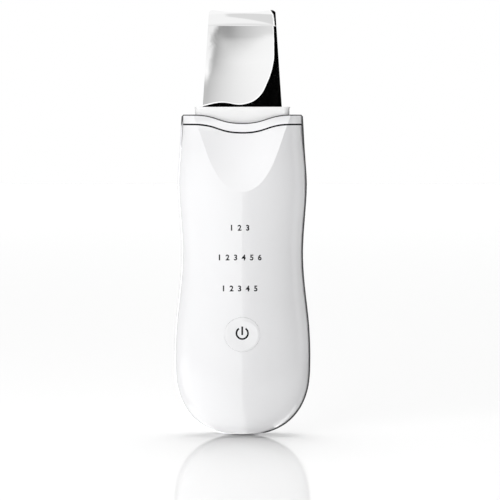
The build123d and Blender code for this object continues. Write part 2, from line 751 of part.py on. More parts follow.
def drive_transistors():
    half, thick, low, high = DRIVER
    inset, tab_thick, tab_top = DRIVER_TAB
    pack = box(-half, half, BOARD_BACK, BOARD_BACK + thick, low, high)
    pack = chamfer(pack.edges().group_by(Axis.Y)[-1], CHIP_EDGE)
    pack += box(inset - half, half - inset, BOARD_BACK, BOARD_BACK + tab_thick, high, tab_top)
    return [Pos(side * DRIVER_X, 0, 0) * pack for side in (-1, 1)]


def charge_board():
    front = SOCKET_Y + SOCKET_DEEP / 2
    return box(-CHARGE_BOARD_HALF, CHARGE_BOARD_HALF, front, front + CHARGE_BOARD, *CHARGE_BOARD_Z)


def charge_socket():
    high = SOCKET_LOW + SOCKET_LONG
    skin = SOCKET_SKIN
    tube = round_prism(SOCKET_WIDE, SOCKET_DEEP, SOCKET_CORNER, SOCKET_LOW, high)
    tube -= round_prism(SOCKET_WIDE - 2 * skin, SOCKET_DEEP - 2 * skin, SOCKET_CORNER - skin, SOCKET_LOW,
                        high - SOCKET_BACK)
    return Pos(0, SOCKET_Y, 0) * tube


def socket_tongue():
    half, thick = PLUG_TONGUE
    return box(-half, half, SOCKET_Y - thick, SOCKET_Y + thick, SOCKET_LOW + PLUG_TONGUE_SET,
               SOCKET_LOW + SOCKET_LONG - SOCKET_BACK)


def hand_contact():
    """Leaf spring from the board to the plated side trim."""
    half = SPRING_THICK / 2
    trim_x = half_width(SPRING_Z + SPRING_WIDE, CAVITY) - FIT
    foot = BOARD_BACK + half
    run = Polyline((SPRING_X, foot), (SPRING_X + SPRING_FOOT, foot), (trim_x - SPRING_RISE, SPRING_KNEE),
                   (trim_x - half, SPRING_TIP))
    strip = trace(run, line_width=SPRING_THICK)
    return Pos(0, 0, SPRING_Z - SPRING_WIDE / 2) * extrude(strip, amount=SPRING_WIDE)


def transducer_leads():
    """From the disc's foot down behind the board's top edge."""
    disc_y = BLADE_THICK / 2 + PIEZO_THICK + LEAD_R + LEAD_LIFT
    board_y = BOARD_BACK + LEAD_R + LEAD_LIFT
    wires = []
    for x in (-TRANSDUCER_LEAD_X, TRANSDUCER_LEAD_X):
        points = [(x, disc_y, PIEZO_Z - TRANSDUCER_LEAD_START), (x, disc_y, NECK_FOOT - TRANSDUCER_LEAD_TURN),
                  (x, board_y, BOARD_TOP + 1), (x, board_y, BOARD_TOP - LEAD_IN_BOARD)]
        wires.append(lead(points, TRANSDUCER_LEAD_BEND))
    return wires


def battery_leads():
    """From the cell's strip over the frame's top to the board."""
    board_y = BOARD_BACK + LEAD_R + LEAD_LIFT
    top = CELL_LOW + CELL_TALL
    wires = []
    for x in (-BATTERY_LEAD_X, BATTERY_LEAD_X):
        points = [(x, BATTERY_LEAD_Y, top), (x, BATTERY_LEAD_Y, top + BATTERY_LEAD_RISE),
                  (x, board_y, top + BATTERY_LEAD_CROSS), (x, board_y, top + BATTERY_LEAD_CROSS + 3)]
        wires.append(lead(points, BATTERY_LEAD_BEND))
    return wires


def charge_leads():
    """From the charging board forward to the main board's lower edge."""
    y = SOCKET_Y + SOCKET_DEEP / 2 - LEAD_R - LEAD_LIFT
    middle = (BOARD_FRONT + BOARD_BACK) / 2
    turn = BOARD_LOW - CHARGE_LEAD_TURN
    wires = []
    for x in (-CHARGE_LEAD_X, CHARGE_LEAD_X):
        points = [(x, y, turn - CHARGE_LEAD_LONG), (x, y, turn), (x, middle, turn), (x, middle, BOARD_LOW)]
        wires.append(lead(points, CHARGE_LEAD_BEND))
    return wires


def save(name, shape):
    """Write one node.  A list stands for like pieces that share the node."""
    if isinstance(shape, list):
        shape = Compound(children=shape)
    export_step(shape, "parts/" + name + ".step")


def main():
    collar_form = body_form(TRIM_PROUD - COLLAR_PROUD) - facet_space(-COLLAR_PROUD)
    skin_form = body_form(TRIM_PROUD)
    cavity_form = body_form(CAVITY)
    skin = skin_form - facet_space()
    room = cavity_form - facet_space(FACET_WALL)

    save("front_shell", front_shell(skin, room))
    save("rear_shell", rear_shell(skin_form, cavity_form))
    save("side_trim", side_trim())
    save("collar_ring", collar_ring(collar_form))
    save("collar_seal", collar_seal(collar_form))
    save("shell_seal", shell_seal(skin, room))
    save("neck_housing", neck_housing())
    save("blade_seal", blade_seal())
    save("blade", blade())
    save("piezo_disc", piezo_disc())
    save("damper_front", damper(-1))
    save("damper_rear", damper(1))
    save("transducer_clamp", transducer_clamp())
    save("clamp_screws", clamp_screws())
    save("power_key", power_key(skin - key_pad()))
    save("key_seal", key_seal(room))
    save("tact_switch", tact_switch())
    save("switch_plunger", switch_plunger())
    save("circuit_board", circuit_board())
    save("mid_frame", mid_frame())
    save("frame_screws", screws_along_y(FRAME_SCREWS, FRAME_BACK, FRAME_SCREW_LONG))
    save("board_screws", screws_along_y(BOARD_SCREWS, BOARD_BACK, BOARD_SCREW_LONG))
    save("battery_cell", battery_cell())
    save("battery_foam", battery_foam(cavity_form))
    save("battery_leads", battery_leads())
    save("led_shield", led_shield())
    save("mode_leds", mode_leds())
    save("controller_chip", controller_chip())
    save("transformer_core", transformer_core())
    save("transformer_winding", transformer_winding())
    save("capacitors", capacitors())
    save("inductor", inductor())
    save("drive_transistors", drive_transistors())
    save("charge_board", charge_board())
    save("charge_socket", charge_socket())
    save("socket_tongue", socket_tongue())
    save("charge_leads", charge_leads())
    save("hand_contact", hand_contact())
    save("transducer_leads", transducer_leads())


if __name__ == "__main__":
    main()
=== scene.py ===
"""Finishes and stage for the skin scrubber: every piece gets its material, the printed marks are added,
and the scrubber stands on a pale floor between soft lamps."""
import math

import bmesh
import bpy
from mathutils import Matrix, Vector


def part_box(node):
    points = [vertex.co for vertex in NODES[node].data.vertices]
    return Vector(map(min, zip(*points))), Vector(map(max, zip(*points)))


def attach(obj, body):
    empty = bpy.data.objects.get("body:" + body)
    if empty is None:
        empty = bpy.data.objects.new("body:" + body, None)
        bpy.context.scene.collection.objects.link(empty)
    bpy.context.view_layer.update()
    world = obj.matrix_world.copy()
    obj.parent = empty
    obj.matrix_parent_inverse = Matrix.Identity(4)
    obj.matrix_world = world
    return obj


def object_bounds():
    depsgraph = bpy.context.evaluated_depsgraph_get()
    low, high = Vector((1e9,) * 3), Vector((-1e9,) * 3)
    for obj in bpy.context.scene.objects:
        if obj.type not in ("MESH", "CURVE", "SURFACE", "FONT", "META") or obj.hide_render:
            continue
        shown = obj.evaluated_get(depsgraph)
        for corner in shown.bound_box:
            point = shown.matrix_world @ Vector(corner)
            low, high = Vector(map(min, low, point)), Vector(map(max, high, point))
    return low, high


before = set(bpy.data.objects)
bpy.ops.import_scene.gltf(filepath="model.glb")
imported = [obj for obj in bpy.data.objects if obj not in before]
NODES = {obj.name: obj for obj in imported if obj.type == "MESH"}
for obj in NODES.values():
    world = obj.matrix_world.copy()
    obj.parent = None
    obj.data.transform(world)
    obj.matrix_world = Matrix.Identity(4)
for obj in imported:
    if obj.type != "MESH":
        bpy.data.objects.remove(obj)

bl_info = {
    "name": "Skin Scrubber Finish",
    "version": (1, 0, 0),
    "blender": (4, 5, 0),
    "location": "View3D > Sidebar > Scrubber",
    "description": "Finishes, printed marks and a plain studio for a hand-held ultrasonic skin scrubber",
    "category": "Object",
}

CAD_LOW, CAD_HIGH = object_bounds()
MM = 0.001

KEY_LOW, KEY_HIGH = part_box("power_key")
KEY_CENTRE = (Vector(KEY_LOW) + Vector(KEY_HIGH)) / 2

# Rows of level figures on the front shell, each with the height of its middle in millimetres.
FIGURE_ROWS = (("123", 81.4), ("123456", 69.95), ("12345", 58.0))
FIGURE_WEIGHT = 0.03        # how far the figures' outline is grown, as a share of the text size
RING_STEPS = 64             # straight pieces round the ring of the power mark
MERGE = 0.002 * MM          # points of a mark closer than this become one
SHELL_WHITE = (0.86, 0.86, 0.87)


# ---------------------------------------------------------------- settings

class ScrubberFinish(bpy.types.PropertyGroup):
    shell_white: bpy.props.FloatVectorProperty(
        name="Shell white", description="Colour of the moulded shells and key",
        subtype="COLOR", size=3, min=0, max=1, default=SHELL_WHITE)
    shell_roughness: bpy.props.FloatProperty(
        name="Shell roughness", description="Roughness of the moulded shells under their clear gloss",
        min=0, max=1, default=0.22)
    collar_white: bpy.props.FloatVectorProperty(
        name="Collar white", description="Colour of the collar",
        subtype="COLOR", size=3, min=0, max=1, default=SHELL_WHITE)
    neck_white: bpy.props.FloatVectorProperty(
        name="Neck white", description="Colour of the neck housing",
        subtype="COLOR", size=3, min=0, max=1, default=(0.86, 0.86, 0.86))
    steel: bpy.props.FloatVectorProperty(
        name="Blade steel", description="Reflection colour of the polished blade",
        subtype="COLOR", size=3, min=0, max=1, default=(0.86, 0.86, 0.86))
    ink: bpy.props.FloatVectorProperty(
        name="Mark ink", description="Colour of the printed marks",
        subtype="COLOR", size=3, min=0, max=1, default=(0.008, 0.008, 0.01))


class ScrubberMarks(bpy.types.PropertyGroup):
    figure_height: bpy.props.FloatProperty(
        name="Figure height", description="Height of the printed figures",
        subtype="DISTANCE", unit="LENGTH", default=2.25 * MM)
    film: bpy.props.FloatProperty(
        name="Ink film", description="Thickness of the printed ink",
        subtype="DISTANCE", unit="LENGTH", default=0.02 * MM)
    figure_pitch: bpy.props.FloatProperty(
        name="Figure pitch", description="From one figure to the next in a row",
        subtype="DISTANCE", unit="LENGTH", default=3.1 * MM)
    figures_left: bpy.props.FloatProperty(
        name="Figures left", description="How far left of the axis the rows are centred",
        subtype="DISTANCE", unit="LENGTH", default=1.0 * MM)
    power_ring: bpy.props.FloatProperty(
        name="Power ring", description="Diameter of the ring of the power mark, to the middle of its line",
        subtype="DISTANCE", unit="LENGTH", default=4.45 * MM)
    power_gap: bpy.props.FloatProperty(
        name="Power gap", description="Angle left open at the top of the ring",
        subtype="ANGLE", unit="ROTATION", default=math.radians(70))
    power_bar: bpy.props.FloatProperty(
        name="Power bar", description="Length of the bar of the power mark",
        subtype="DISTANCE", unit="LENGTH", default=3.3 * MM)
    power_drop: bpy.props.FloatProperty(
        name="Power drop", description="How far the bar reaches below the middle of the ring",
        subtype="DISTANCE", unit="LENGTH", default=0.7 * MM)
    power_stroke: bpy.props.FloatProperty(
        name="Power stroke", description="Line width of the power mark",
        subtype="DISTANCE", unit="LENGTH", default=0.68 * MM)
    power_raise: bpy.props.FloatProperty(
        name="Power raise", description="How far the power mark stands above the middle of the key",
        subtype="DISTANCE", unit="LENGTH", default=0.5 * MM)


class ScrubberStage(bpy.types.PropertyGroup):
    camera_distance: bpy.props.FloatProperty(
        name="Camera distance", description="From the camera to the middle of the scrubber",
        subtype="DISTANCE", unit="LENGTH", default=0.9)
    camera_elevation: bpy.props.FloatProperty(
        name="Camera elevation", description="Angle of the camera above the horizon",
        subtype="ANGLE", unit="ROTATION", default=math.radians(3.5))
    view_width: bpy.props.FloatProperty(
        name="View width", description="Width seen by the camera at the scrubber",
        subtype="DISTANCE", unit="LENGTH", default=194.25 * MM)
    aim_right: bpy.props.FloatProperty(
        name="Aim right", description="How far right of the scrubber's axis the camera aims",
        subtype="DISTANCE", unit="LENGTH", default=3.0 * MM)
    aim_height: bpy.props.FloatProperty(
        name="Aim height", description="Height that the camera aims at",
        subtype="DISTANCE", unit="LENGTH", default=72.3 * MM)


# ---------------------------------------------------------------- shader effects

def effect_group(name, inputs, outputs):
    """Empty shader node group with named sockets; returns the group and its input and output nodes."""
    group = bpy.data.node_groups.new(name, "ShaderNodeTree")
    for label, kind, value in inputs:
        socket = group.interface.new_socket(label, in_out="INPUT", socket_type=kind)
        if value is not None:
            socket.default_value = value
    for label, kind in outputs:
        group.interface.new_socket(label, in_out="OUTPUT", socket_type=kind)
    return group, group.nodes.new("NodeGroupInput"), group.nodes.new("NodeGroupOutput")


def feed(tree, value, socket):
    """Give a socket a plain number, or what comes out of another node."""
    if isinstance(value, (int, float)):
        socket.default_value = value
    else:
        tree.links.new(value, socket)


def noise(tree, vector, scale, detail):
    """Grey noise over the surface, round 0.5."""
    node = tree.nodes.new("ShaderNodeTexNoise")
    feed(tree, scale, node.inputs["Scale"])
    node.inputs["Detail"].default_value = detail
    tree.links.new(vector, node.inputs["Vector"])
    return node.outputs["Fac"]


def math_node(tree, operation, first, second):
    """Sum, product or the like of two values, each a number or what comes out of a node."""
    node = tree.nodes.new("ShaderNodeMath")
    node.operation = operation
    for socket, value in zip(node.inputs, (first, second)):
        feed(tree, value, socket)
    return node.outputs[0]


def swung(tree, pattern, spread, middle):
    """The middle value, swung up and down by a noise pattern with a spread."""
    return math_node(tree, "ADD", math_node(tree, "MULTIPLY", pattern, spread), middle)


def shaded_colour(tree, colour, factor):
    """The colour, lighter or darker by a factor."""
    node = tree.nodes.new("ShaderNodeVectorMath")
    node.operation = "SCALE"
    tree.links.new(colour, node.inputs[0])
    tree.links.new(factor, node.inputs["Scale"])
    return node.outputs[0]


def moulded_skin():
    """Moulded or cast surface: slow drift of shade, fine skin texture and uneven gloss."""
    group, source, sink = effect_group(
        "moulded_skin",
        (("Vector", "NodeSocketVector", None), ("Colour", "NodeSocketColor", (0.8, 0.8, 0.8, 1)),
         ("Drift", "NodeSocketFloat", 0.02), ("Grain Scale", "NodeSocketFloat", 2500.0),
         ("Roughness", "NodeSocketFloat", 0.3), ("Roughness Spread", "NodeSocketFloat", 0.05)),
        (("Colour", "NodeSocketColor"), ("Roughness", "NodeSocketFloat"), ("Height", "NodeSocketFloat")))
    slow = noise(group, source.outputs["Vector"], scale=60.0, detail=3.0)
    fine = noise(group, source.outputs["Vector"], scale=source.outputs["Grain Scale"], detail=3.0)
    swing = math_node(group, "SUBTRACT", slow, 0.5)
    factor = swung(group, swing, source.outputs["Drift"], 1.0)
    group.links.new(shaded_colour(group, source.outputs["Colour"], factor), sink.inputs["Colour"])
    uneven = math_node(group, "SUBTRACT", fine, 0.5)
    gloss = swung(group, uneven, source.outputs["Roughness Spread"], source.outputs["Roughness"])
    group.links.new(gloss, sink.inputs["Roughness"])
    group.links.new(fine, sink.inputs["Height"])
    return group


def drawn_metal():
    """Worked metal: streaks along one direction in shade, gloss and height."""
    group, source, sink = effect_group(
        "drawn_metal",
        (("Vector", "NodeSocketVector", None), ("Stretch", "NodeSocketVector", (40.0, 900.0, 2500.0)),
         ("Colour", "NodeSocketColor", (0.8, 0.8, 0.8, 1)), ("Streak", "NodeSocketFloat", 0.03),
         ("Roughness", "NodeSocketFloat", 0.1), ("Roughness Spread", "NodeSocketFloat", 0.03)),
        (("Colour", "NodeSocketColor"), ("Roughness", "NodeSocketFloat"), ("Height", "NodeSocketFloat")))
    stretched = group.nodes.new("ShaderNodeVectorMath")
    stretched.operation = "MULTIPLY"
    group.links.new(source.outputs["Vector"], stretched.inputs[0])
    group.links.new(source.outputs["Stretch"], stretched.inputs[1])
    lines = noise(group, stretched.outputs[0], scale=1.0, detail=4.0)
    swing = math_node(group, "SUBTRACT", lines, 0.5)
    factor = swung(group, swing, source.outputs["Streak"], 1.0)
    group.links.new(shaded_colour(group, source.outputs["Colour"], factor), sink.inputs["Colour"])
    gloss = swung(group, swing, source.outputs["Roughness Spread"], source.outputs["Roughness"])
    group.links.new(gloss, sink.inputs["Roughness"])
    group.links.new(lines, sink.inputs["Height"])
    return group


MAKERS = {"moulded_skin": moulded_skin, "drawn_metal": drawn_metal}
EFFECTS = {}


def effect(name):
    """One of the shared effects, built when it is first asked for."""
    if name not in EFFECTS:
        EFFECTS[name] = MAKERS[name]()
    return EFFECTS[name]


def finish_material(name, colour, roughness, relief, effect_name="moulded_skin", shader=None, **values):
    """Principled material whose colour, roughness and bump come from one of the effects.  Relief is the
    height of the bump in metres, shader holds plain Principled inputs, and the other values are the
    effect's own."""
    material = bpy.data.materials.new(name)
    material.use_nodes = True
    tree = material.node_tree
    bsdf = tree.nodes["Principled BSDF"]
    for label, value in (shader or {}).items():
        bsdf.inputs[label].default_value = value
    coordinates = tree.nodes.new("ShaderNodeTexCoord")
    group = tree.nodes.new("ShaderNodeGroup")
    group.node_tree = effect(effect_name)
    tree.links.new(coordinates.outputs["Object"], group.inputs["Vector"])
    group.inputs["Colour"].default_value = (*colour, 1)
    group.inputs["Roughness"].default_value = roughness
    for label, value in values.items():
        group.inputs[label.replace("_", " ").title()].default_value = value
    tree.links.new(group.outputs["Colour"], bsdf.inputs["Base Color"])
    tree.links.new(group.outputs["Roughness"], bsdf.inputs["Roughness"])
    bump = tree.nodes.new("ShaderNodeBump")
    bump.inputs["Strength"].default_value = 1.0
    bump.inputs["Distance"].default_value = relief
    tree.links.new(group.outputs["Height"], bump.inputs["Height"])
    tree.links.new(bump.outputs["Normal"], bsdf.inputs["Normal"])
    return material


def dress(material, *nodes):
    """Put one material on CAD nodes."""
    for name in nodes:
        mesh = NODES[name].data
        mesh.materials.clear()
        mesh.materials.append(material)


# ---------------------------------------------------------------- pieces

def gloss_shader(coat):
    """Plain inputs of a surface under a clear gloss of some weight."""
    return {"IOR": 1.5, "Coat Weight": coat, "Coat Roughness": 0.04, "Coat IOR": 1.5}


class SCRUBBER_OT_shells(bpy.types.Operator):
    """Glossy white moulded shells and the power key"""
    bl_idname = "scrubber.shells"
    bl_label = "Shells and key"

    def execute(self, context):
        finish = context.scene.scrubber_finish
        white = finish_material("shell_gloss", finish.shell_white, finish.shell_roughness, relief=0.001 * MM,
                                shader=gloss_shader(0.6), drift=0.012, roughness_spread=0.05)
        dress(white, "front_shell", "rear_shell", "power_key")
        return {"FINISHED"}


class SCRUBBER_OT_collar(bpy.types.Operator):
    """Collar with its dark seals, whose black is partly painted shade for the seams round the collar, and the
    pale neck housing with the blade's seal
    """
    bl_idname = "scrubber.collar"
    bl_label = "Collar, seals and neck"

    def execute(self, context):
        finish = context.scene.scrubber_finish
        pearl = finish_material("collar_gloss", finish.collar_white, 0.2,
                                relief=0.001 * MM, shader=gloss_shader(0.8), drift=0.01)
        dress(pearl, "collar_ring")
        # The seals are black rubber, and their near-black is also painted shade: it stands for the shadow in
        # the seams round the collar.
        seal = finish_material("seal_rubber_and_painted_shade", (0.02, 0.02, 0.022), 0.45, relief=0.006 * MM, drift=0.3)
        dress(seal, "collar_seal")
        black_seal_and_painted_shade = finish_material("seal_black_and_painted_shade", (0.01, 0.01, 0.011), 0.55, relief=0.006 * MM, drift=0.3,
                                     shader={"Specular IOR Level": 0.12})
        dress(black_seal_and_painted_shade, "shell_seal")
        neck = finish_material("neck_satin", finish.neck_white, 0.4, relief=0.002 * MM, drift=0.02)
        dress(neck, "neck_housing")
        silicone = finish_material("silicone_milky", (0.8, 0.8, 0.8), 0.5, relief=0.002 * MM,
                                   shader={"Subsurface Weight": 0.2, "Subsurface Scale": 0.001})
        dress(silicone, "blade_seal")
        return {"FINISHED"}


class SCRUBBER_OT_metal(bpy.types.Operator):
    """Polished blade and plated side trim"""
    bl_idname = "scrubber.metal"
    bl_label = "Blade and trim"

    def execute(self, context):
        finish = context.scene.scrubber_finish
        steel = finish_material("blade_polish", finish.steel, 0.03, relief=0.0001 * MM,
                                effect_name="drawn_metal", shader={"Metallic": 1.0}, streak=0.012,
                                roughness_spread=0.01)
        dress(steel, "blade")
        plated = finish_material("trim_plating", (0.75, 0.75, 0.77), 0.05, relief=0.0005 * MM,
                                 shader={"Metallic": 1.0}, drift=0.02)
        dress(plated, "side_trim")
        return {"FINISHED"}


class SCRUBBER_OT_inner(bpy.types.Operator):
    """Transducer, electronics and battery inside the body"""
    bl_idname = "scrubber.inner"
    bl_label = "Inner pieces"

    def execute(self, context):
        dress(finish_material("piezo_silvered", (0.75, 0.72, 0.64), 0.3, relief=0.002 * MM, drift=0.1),
              "piezo_disc")
        dress(finish_material("silicone_grey", (0.42, 0.43, 0.45), 0.55, relief=0.004 * MM, drift=0.08),
              "damper_front", "damper_rear", "key_seal")
        dress(finish_material("frame_black", (0.03, 0.03, 0.032), 0.5, relief=0.006 * MM, drift=0.2),
              "transducer_clamp", "mid_frame", "led_shield", "tact_switch", "switch_plunger", "socket_tongue")
        dress(finish_material("board_mask", (0.01, 0.12, 0.045), 0.25, relief=0.002 * MM, drift=0.25,
                              shader=gloss_shader(0.4)), "circuit_board", "charge_board")
        dress(finish_material("cell_foil", (0.62, 0.63, 0.65), 0.32, relief=0.01 * MM, drift=0.06,
                              shader={"Metallic": 0.9}), "battery_cell")
        dress(finish_material("foam_grey", (0.10, 0.10, 0.105), 0.9, relief=0.05 * MM, drift=0.5),
              "battery_foam")
        dress(finish_material("lead_red", (0.5, 0.02, 0.015), 0.35, relief=0.001 * MM, drift=0.06),
              "battery_leads", "charge_leads", "transducer_leads")
        dress(finish_material("lamp_phosphor", (0.85, 0.80, 0.45), 0.3, relief=0.002 * MM, drift=0.15),
              "mode_leds")
        dress(finish_material("chip_epoxy", (0.02, 0.02, 0.022), 0.55, relief=0.006 * MM, drift=0.3),
              "controller_chip", "drive_transistors")
        dress(finish_material("ferrite", (0.05, 0.045, 0.045), 0.6, relief=0.01 * MM, drift=0.35),
              "transformer_core", "inductor")
        dress(finish_material("winding_tape", (0.62, 0.40, 0.03), 0.3, relief=0.002 * MM, drift=0.1,
                              shader=gloss_shader(0.5)), "transformer_winding")
        dress(finish_material("can_sleeve", (0.02, 0.03, 0.10), 0.3, relief=0.002 * MM, drift=0.1),
              "capacitors")
        bright = {"relief": 0.001 * MM, "effect_name": "drawn_metal", "shader": {"Metallic": 1.0},
                  "streak": 0.15}
        dress(finish_material("screw_zinc", (0.55, 0.55, 0.56), 0.3, **bright),
              "frame_screws", "board_screws", "clamp_screws")
        dress(finish_material("socket_tin", (0.62, 0.62, 0.63), 0.28, **bright), "charge_socket")
        dress(finish_material("contact_brass", (0.72, 0.52, 0.22), 0.25, **bright), "hand_contact")
        return {"FINISHED"}


# ---------------------------------------------------------------- printed marks

def deselected():
    """Leave edit mode and select nothing, before the next piece is made."""
    if bpy.context.object and bpy.context.object.mode != "OBJECT":
        bpy.ops.object.mode_set(mode="OBJECT")
    bpy.ops.object.select_all(action="DESELECT")


def make_active(piece):
    """Select one piece and nothing else, for the operators that follow."""
    deselected()
    piece.select_set(True)
    bpy.context.view_layer.objects.active = piece


def on_whole_mesh(operator, **values):
    """Run one mesh operator on all of the active piece."""
    bpy.ops.object.mode_set(mode="EDIT")
    bpy.ops.mesh.select_all(action="SELECT")
    operator(**values)
    bpy.ops.object.mode_set(mode="OBJECT")


def flat_figure(text, height):
    """Outline of one figure, filled, flat in X and Y with its middle at the origin."""
    deselected()
    bpy.ops.object.text_add()
    bpy.context.object.data.body = text
    bpy.context.object.data.offset = FIGURE_WEIGHT
    bpy.ops.object.convert(target="MESH")
    figure = bpy.context.object
    mesh = figure.data
    xs = [vertex.co.x for vertex in mesh.vertices]
    ys = [vertex.co.y for vertex in mesh.vertices]
    scale = height / (max(ys) - min(ys))
    middle = Vector(((max(xs) + min(xs)) / 2, (max(ys) + min(ys)) / 2, 0))
    for vertex in mesh.vertices:
        vertex.co = (vertex.co - middle) * scale
    return figure


def printed(piece, name, target, body, film, ink, x, z):
    """Lay a flat mark on the front of a CAD node, give it the ink's thickness and fix it there."""
    make_active(piece)
    piece.name = piece.data.name = name
    for vertex in piece.data.vertices:
        flat = vertex.co.copy()
        vertex.co = (flat.x + x, CAD_LOW.y - MM, flat.y + z)
    on_whole_mesh(bpy.ops.mesh.remove_doubles, threshold=MERGE)
    lay = piece.modifiers.new("lay", "SHRINKWRAP")
    lay.wrap_method = "PROJECT"
    lay.use_project_x = lay.use_project_z = False
    lay.use_project_y = lay.use_positive_direction = True
    lay.use_negative_direction = False
    lay.target = NODES[target]
    bpy.ops.object.modifier_apply(modifier="lay")
    on_whole_mesh(bpy.ops.mesh.normals_make_consistent, inside=False)
    if sum(face.normal.y for face in piece.data.polygons) > 0:
        on_whole_mesh(bpy.ops.mesh.flip_normals)
    # Half of the ink lies in the plastic, so that no gap shows under its edge.
    wall = piece.modifiers.new("film", "SOLIDIFY")
    wall.thickness = 2 * film
    wall.offset = 0
    bpy.ops.object.modifier_apply(modifier="film")
    piece.data.materials.clear()
    piece.data.materials.append(ink)
    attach(piece, body)


def ink_material(finish):
    """Matt ink of the printed marks."""
    return finish_material("mark_ink", finish.ink, 0.5, relief=0.002 * MM,
                           shader={"Specular IOR Level": 0.15}, drift=0.25, roughness_spread=0.1)


class SCRUBBER_OT_figures(bpy.types.Operator):
    """Rows of level figures printed on the front shell"""
    bl_idname = "scrubber.figures"
    bl_label = "Level figures"

    def execute(self, context):
        marks = context.scene.scrubber_marks
        ink = ink_material(context.scene.scrubber_finish)
        for text, z in FIGURE_ROWS:
            left = -(len(text) - 1) / 2 * marks.figure_pitch
            row = [flat_figure(figure, marks.figure_height) for figure in text]
            for place, figure in enumerate(row):
                figure.data.transform(Matrix.Translation((left + place * marks.figure_pitch, 0, 0)))
            deselected()
            for figure in row:
                figure.select_set(True)
            bpy.context.view_layer.objects.active = row[0]
            bpy.ops.object.join()
            printed(row[0], "figures_" + text[-1], "front_shell", "body", marks.film, ink,
                    -marks.figures_left, z * MM)
        return {"FINISHED"}


class SCRUBBER_OT_power_mark(bpy.types.Operator):
    """Open ring and bar printed on the power key"""
    bl_idname = "scrubber.power_mark"
    bl_label = "Power mark"

    def execute(self, context):
        marks = context.scene.scrubber_marks
        radius, stroke = marks.power_ring / 2, marks.power_stroke
        deselected()
        bpy.ops.mesh.primitive_plane_add(size=stroke, location=(0, 0, 0))
        mark = bpy.context.object
        start = math.radians(90) - marks.power_gap / 2
        # The plane's two upper corners become the start of the ring's line, and the lower two are removed.
        for vertex in mark.data.vertices:
            away = radius + vertex.co.x
            vertex.co = (away * math.cos(start), away * math.sin(start), 0) if vertex.co.y > 0 else (0, 0, MM)
        bpy.ops.object.mode_set(mode="EDIT")
        bpy.ops.mesh.select_all(action="DESELECT")
        sheet = bmesh.from_edit_mesh(mark.data)
        for vertex in list(sheet.verts):
            if vertex.co.z > 0:
                sheet.verts.remove(vertex)
            else:
                vertex.select = True
        sheet.select_flush(True)
        bmesh.update_edit_mesh(mark.data)
        bpy.ops.mesh.spin(steps=RING_STEPS, angle=2 * math.pi - marks.power_gap, center=(0, 0, 0),
                          axis=(0, 0, 1))
        middle = (0, marks.power_bar / 2 - marks.power_drop, 0)
        bpy.ops.mesh.primitive_plane_add(size=stroke, location=middle)
        bpy.ops.transform.resize(value=(1, marks.power_bar / stroke, 1), center_override=middle)
        bpy.ops.object.mode_set(mode="OBJECT")
        ink = ink_material(context.scene.scrubber_finish)
        printed(mark, "power_mark", "power_key", "key", marks.film, ink, 0, KEY_CENTRE.z + marks.power_raise)
        return {"FINISHED"}


# ---------------------------------------------------------------- stage

# Where the cards stand, in millimetres from the middle of the foot: left and right cards meet at SPLIT, the
# big ones stand at FAR_Y, and the ones on the floor change over at NEAR_Y.
SPLIT = 1.8
FAR_Y = -150
NEAR_Y = -16

# What the blade mirrors, in millimetres: where the dark shape stands, how far its bright rim is set off from
# it, and the height on the soft glow that shows at the bend of the lip.
DARK_Y = -6.0
RIM_LEFT, RIM_UP = 0.35, 0.38
BEND_GLOW = 155.1
DARK_LOW, DARK_TOP = 127.6, 158.4
DARK_EDGE = (
    (-15.25, 128.25),       # left end, at the blade's foot
    (-8.5, 129.5),          # crest of the low wave
    (0.75, 128.9),          # dip of the wave
    (6.0, 131.25),          # turning up
    (9.5, 137.5),           # out of the turn
    (11.0, 146.0),          # furthest right
    (10.5, 152.5),          # leaning in again
    (10.3, DARK_TOP))       # right end, under the lip
DARK_CORNERS = ((24, DARK_TOP), (24, DARK_LOW), (-17, DARK_LOW))
STEEL_GAIN = 1.16           # the steel gives back 0.86 of what it mirrors, and its cards make up for that
BRIGHT_RIM = 1.25

# Dark shade round the trim, in metres.
FLAG_GAP = 0.4 * MM
FLAG_MERGE = 0.001 * MM
FLAG_RIGHT = 8 * MM         # left of this only the collar's end is shaded
FLAG_COLLAR = 121 * MM


def lamp(name, place, target, width, height, radiance):
    """Soft lamp of one radiance, which lights surfaces but isn't mirrored in them."""
    data = bpy.data.lights.new(name, "AREA")
    data.shape = "RECTANGLE"
    data.size, data.size_y = width, height
    data.energy = radiance * math.pi * width * height
    light = bpy.data.objects.new(name, data)
    bpy.context.scene.collection.objects.link(light)
    light.location = place
    light.rotation_euler = (Vector(target) - Vector(place)).to_track_quat("-Z", "Y").to_euler()
    light.visible_glossy = False


def linked_sun(name, receivers, energy, angle, tilt):
    """Soft sun for some objects only.  Its angle and tilt are in degrees: at 0 it shines straight down, a
    positive tilt brings it round to the front, and a negative one behind."""
    sun = bpy.data.objects.new(name, bpy.data.lights.new(name, "SUN"))
    sun.data.energy = energy
    sun.data.angle = math.radians(angle)
    sun.rotation_euler = (math.radians(tilt), 0, 0)
    sun.visible_glossy = False
    bpy.context.scene.collection.objects.link(sun)
    lit = bpy.data.collections.new(name + "_only")
    for receiver in receivers:
        lit.objects.link(receiver)
    sun.light_linking.receiver_collection = lit


